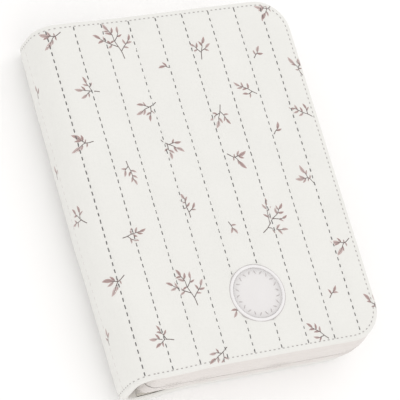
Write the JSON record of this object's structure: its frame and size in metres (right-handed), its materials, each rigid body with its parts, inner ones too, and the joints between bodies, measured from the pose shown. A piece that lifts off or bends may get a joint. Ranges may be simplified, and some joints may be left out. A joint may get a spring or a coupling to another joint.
{
  "type": "zip-around prayer book",
  "caption": "Prayer book in a padded, quilted fabric cover with a zipper round three edges; opens flat about its spine, and the leaves turn.",
  "frame": {"origin": "middle of the back cover's outer face, which it lies on", "axes": "+Z from the back cover to the front cover; +X from the spine to the fore edge; +Y from the tail to the head"},
  "size_m": [0.1422, 0.1961, 0.0362],
  "materials": {
    "cover_fabric": "fine printed cotton, matt",
    "foam": "soft open foam pad",
    "lining_cloth": "plain woven lining, matt",
    "sleeve_cloth": "plain woven sleeve, matt",
    "zip_tape": "close woven tape, matt",
    "zip_coil": "satin nylon coil",
    "metal": "polished nickel",
    "badge_face": "soft satin",
    "badge_rim": "soft satin",
    "board": "covered board, satin",
    "endpaper": "matt paper",
    "page_block": "leaf edges, matt",
    "mull": "open gauze under paper",
    "headband": "woven band",
    "leaf": "thin matt paper",
    "book_spine": "covered strip, satin"
  },
  "bodies": {
    "back_cover": {"back_outer_fabric": "cover_fabric", "back_foam": "foam", "back_lining": "lining_cloth", "back_sleeve": "sleeve_cloth", "back_board": "board", "back_endpaper": "endpaper", "back_zip_tape": "zip_tape", "back_zip_coil": "zip_coil", "back_top_stop": "metal", "back_pages": "page_block", "back_spine_lining": "mull", "back_headbands": "headband", "zip_bottom_stop": "metal"},
    "spine": {"spine_outer_fabric": "cover_fabric", "spine_foam": "foam", "spine_lining": "lining_cloth", "book_spine_strip": "book_spine"},
    "front_cover": {"front_outer_fabric": "cover_fabric", "front_foam": "foam", "front_lining": "lining_cloth", "front_sleeve": "sleeve_cloth", "front_board": "board", "front_endpaper": "endpaper", "front_zip_tape": "zip_tape", "front_zip_coil": "zip_coil", "front_top_stop": "metal", "badge_disc": "badge_face", "badge_rim": "badge_rim"},
    "front_block": {"front_pages": "page_block", "front_spine_lining": "mull", "front_headbands": "headband"},
    "slider": {"slider_body": "metal", "slider_bail": "metal"},
    "pull": {"pull_tab": "metal"},
    "leaf_1": {"leaf_1": "leaf"},
    "leaf_2": {"leaf_2": "leaf"},
    "leaf_3": {"leaf_3": "leaf"},
    "leaf_4": {"leaf_4": "leaf"}
  },
  "joints": [
    {"name": "spine_fold", "type": "hinge", "parent": "back_cover", "child": "spine", "pos_m": [-0.06728, 0, 0.00322], "axis": [0, -1, 0], "range_deg": [0, 90]},
    {"name": "front_fold", "type": "hinge", "parent": "spine", "child": "front_cover", "pos_m": [-0.06728, 0, 0.03178], "axis": [0, -1, 0], "range_deg": [0, 90]},
    {"name": "front_block_turn", "type": "hinge", "parent": "back_cover", "child": "front_block", "pos_m": [-0.05975, 0, 0.0175], "axis": [0, -1, 0], "range_deg": [0, 180]},
    {"name": "leaf_1_turn", "type": "hinge", "parent": "back_cover", "child": "leaf_1", "pos_m": [-0.05975, 0, 0.0175], "axis": [0, -1, 0], "range_deg": [0, 10.8]},
    {"name": "leaf_2_turn", "type": "hinge", "parent": "back_cover", "child": "leaf_2", "pos_m": [-0.05975, 0, 0.0175], "axis": [0, -1, 0], "range_deg": [0, 27]},
    {"name": "leaf_3_turn", "type": "hinge", "parent": "back_cover", "child": "leaf_3", "pos_m": [-0.05975, 0, 0.0175], "axis": [0, -1, 0], "range_deg": [0, 153]},
    {"name": "leaf_4_turn", "type": "hinge", "parent": "back_cover", "child": "leaf_4", "pos_m": [-0.05975, 0, 0.0175], "axis": [0, -1, 0], "range_deg": [0, 169.2]},
    {"name": "slider_travel", "type": "slide", "parent": "back_cover", "child": "slider", "axis": [1, 0, 0], "range_m": [0, 0.0902]},
    {"name": "pull_swing", "type": "hinge", "parent": "slider", "child": "pull", "pos_m": [-0.0442, 0.09835, 0.0175], "axis": [0, 0, 1], "range_deg": [0, 170]}
  ],
  "couplings": [
    {"joint": "front_fold", "follows": "spine_fold", "ratio": 1},
    {"joint": "front_block_turn", "follows": "spine_fold", "ratio": 2},
    {"joint": "leaf_1_turn", "follows": "spine_fold", "ratio": 0.12},
    {"joint": "leaf_2_turn", "follows": "spine_fold", "ratio": 0.3},
    {"joint": "leaf_3_turn", "follows": "spine_fold", "ratio": 1.7},
    {"joint": "leaf_4_turn", "follows": "spine_fold", "ratio": 1.88}
  ]
}
